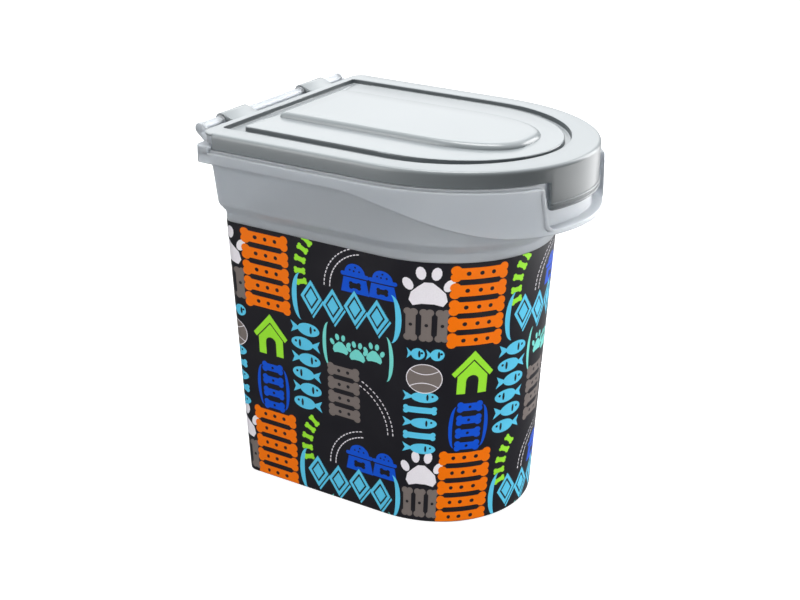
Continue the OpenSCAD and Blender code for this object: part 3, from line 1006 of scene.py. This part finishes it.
def make_world():
    """Studio light from all round, by height and by side, with white straight above."""
    world = bpy.data.worlds.new("studio")
    world.use_nodes = True
    nodes, links = world.node_tree.nodes, world.node_tree.links
    where = nodes.new("ShaderNodeTexCoord")
    parts = nodes.new("ShaderNodeSeparateXYZ")
    height = nodes.new("ShaderNodeMapRange")
    height.inputs["From Min"].default_value = -1.0
    ramp = nodes.new("ShaderNodeValToRGB")
    links.new(where.outputs["Generated"], parts.inputs[0])
    links.new(parts.outputs["Z"], height.inputs["Value"])
    links.new(height.outputs["Result"], ramp.inputs["Fac"])
    # The studio is brighter behind the bin's right side than in front of its left
    side = nodes.new("ShaderNodeVectorMath")
    side.operation = "DOT_PRODUCT"
    side.inputs[1].default_value = (0.86, 0.51, 0.0)
    turn = nodes.new("ShaderNodeMapRange")
    turn.inputs["From Min"].default_value = -1.0
    level = nodes.new("ShaderNodeFloatCurve")
    curve = level.mapping.curves[0]
    curve.points[0].location, curve.points[-1].location = (0, 0.07), (1, 1)
    for spot in ((0.5, 0.17), (0.8, 0.35)):
        curve.points.new(*spot)
    gain = nodes.new("ShaderNodeMath")
    gain.operation = "MULTIPLY"
    gain.inputs[1].default_value = 4.2
    links.new(where.outputs["Generated"], side.inputs[0])
    links.new(side.outputs["Value"], turn.inputs["Value"])
    links.new(turn.outputs["Result"], level.inputs["Value"])
    links.new(level.outputs["Value"], gain.inputs[0])
    links.new(ramp.outputs["Color"], nodes["Background"].inputs["Color"])
    links.new(gain.outputs["Value"], nodes["Background"].inputs["Strength"])
    stops = [(0.0, 0.20), (0.44, 0.14), (0.5, 0.05), (0.56, 0.06), (0.66, 0.25), (0.82, 0.8), (1.0, 1.0)]
    ramp.color_ramp.elements[0].position, ramp.color_ramp.elements[1].position = stops[0][0], stops[-1][0]
    for at_height, _ in stops[1:-1]:
        ramp.color_ramp.elements.new(at_height)
    for stop, (_, grey) in zip(ramp.color_ramp.elements, stops):
        stop.color = (grey * 0.97, grey * 0.99, grey, 1)
    bpy.context.scene.world = world
    bpy.context.scene.view_settings.view_transform = "Standard"


def make_light(name, place_at, aim, size, power, only=()):
    """Rectangular soft light; only names the pieces that it lights, if not all."""
    light = bpy.data.lights.new(name, "AREA")
    light.shape = "RECTANGLE"
    light.size, light.size_y = size
    light.energy = power
    obj = bpy.data.objects.new(name, light)
    bpy.context.scene.collection.objects.link(obj)
    obj.location = place_at
    obj.visible_camera = False
    obj.rotation_euler = (Vector(aim) - Vector(place_at)).to_track_quat("-Z", "Y").to_euler()
    if only:
        lit = bpy.data.collections.new(name + "_lit")
        for piece in only:
            lit.objects.link(piece)
        obj.light_linking.receiver_collection = lit


def make_lights(tub, film):
    """Soft lights round the bin; some light only the tub or only the film."""
    middle = Vector((0, 0, (cad_box[0][2] + cad_box[1][2]) / 2))
    make_light("top_softbox", (0.1, 0.1, 2.0), middle, (1.0, 0.8), 25)
    make_light("back_softbox", (2.2, 1.4, 1.35), middle, (2.4, 1.3), 12)
    make_light("left_softbox", (-1.8, 0.9, 0.7), middle, (1.0, 1.4), 18)
    make_light("right_softbox", (1.6, -0.9, 0.8), middle, (0.8, 1.4), 22)
    make_light("right_card", (0.44, -0.54, 0.14), (0, -0.13, 0.12), (1.0, 0.26), 2.2)
    make_light("front_fill", (-0.1, -2.2, 0.6), middle, (1.6, 1.4), 36, (tub,))
    make_light("film_fill", (-0.8, -2.1, 0.7), middle, (1.6, 1.4), 35, (film,))
    make_light("floor_bounce", (-0.5, -0.35, 0.03), (0, 0, 0.27), (0.8, 0.8), 1.4, (tub,))
    make_light("right_rim", (1.9, -0.2, 0.4), middle, (0.8, 1.2), 12, (tub,))
    make_light("left_fill", (-2.2, -0.2, 0.6), middle, (1.4, 1.2), 8, (tub, film))


def make_camera():
    """The camera looks down on the bin's left side and front, level but for a slight roll."""
    azimuth, elevation, roll = (math.radians(d) for d in (-59.42, 23.08, 0.78))
    distance = 1.1685
    target = Vector((-0.0037, 0.0350 + SHIFT_Y / 1000, 0.1638))
    level = math.cos(elevation)
    back = Vector((math.sin(azimuth) * level, -math.cos(azimuth) * level, math.sin(elevation)))
    right = Vector((math.cos(azimuth), math.sin(azimuth), 0))
    up = back.cross(right)
    across = right * math.cos(roll) + up * math.sin(roll)
    above = -right * math.sin(roll) + up * math.cos(roll)
    camera = bpy.data.objects.new("camera", bpy.data.cameras.new("camera"))
    bpy.context.scene.collection.objects.link(camera)
    turned = Matrix((across, above, back)).transposed().to_4x4()
    camera.matrix_world = Matrix.Translation(target + back * distance) @ turned
    camera.data.lens = 60.17
    camera.data.sensor_width = 36
    camera.data.clip_end = 100
    bpy.context.scene.camera = camera


# ---------------------------------------------------------------- the scene
def make_bin():
    """Builds the three pieces, and returns the two that have lights of their own."""
    tub, film, lid = make_tub(), make_film(), make_lid()
    tub.data.materials.append(tub_plastic())
    lid.data.materials.append(lid_plastic("lid_satin_plastic", 149, 0.28, 0.32))
    lid.data.materials.append(lid_plastic("lid_panel_plastic", 149, 0.2, 0.24))
    # A darker grey copy for the channel's walls: painted shade for the shadow in the deep groove
    lid.data.materials.append(lid_plastic("lid_groove_painted_shade", 88, 0.34, 0.4))
    finish_panel_and_shade_groove(lid)
    for ink in INK_NAMES:
        film.data.materials.append(film_ink(ink))
    pieces = ((tub, "bin", "tub", "clear_plastic"),
              (film, "bin", "printed_wrap", "printed_film"),
              (lid, "lid", "lid", "grey_plastic"))
    for piece, body, node, slot in pieces:
        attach(piece, body)
        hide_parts(node)
    return tub, film


make_camera()
make_world()
make_floor()
make_lights(*make_bin())
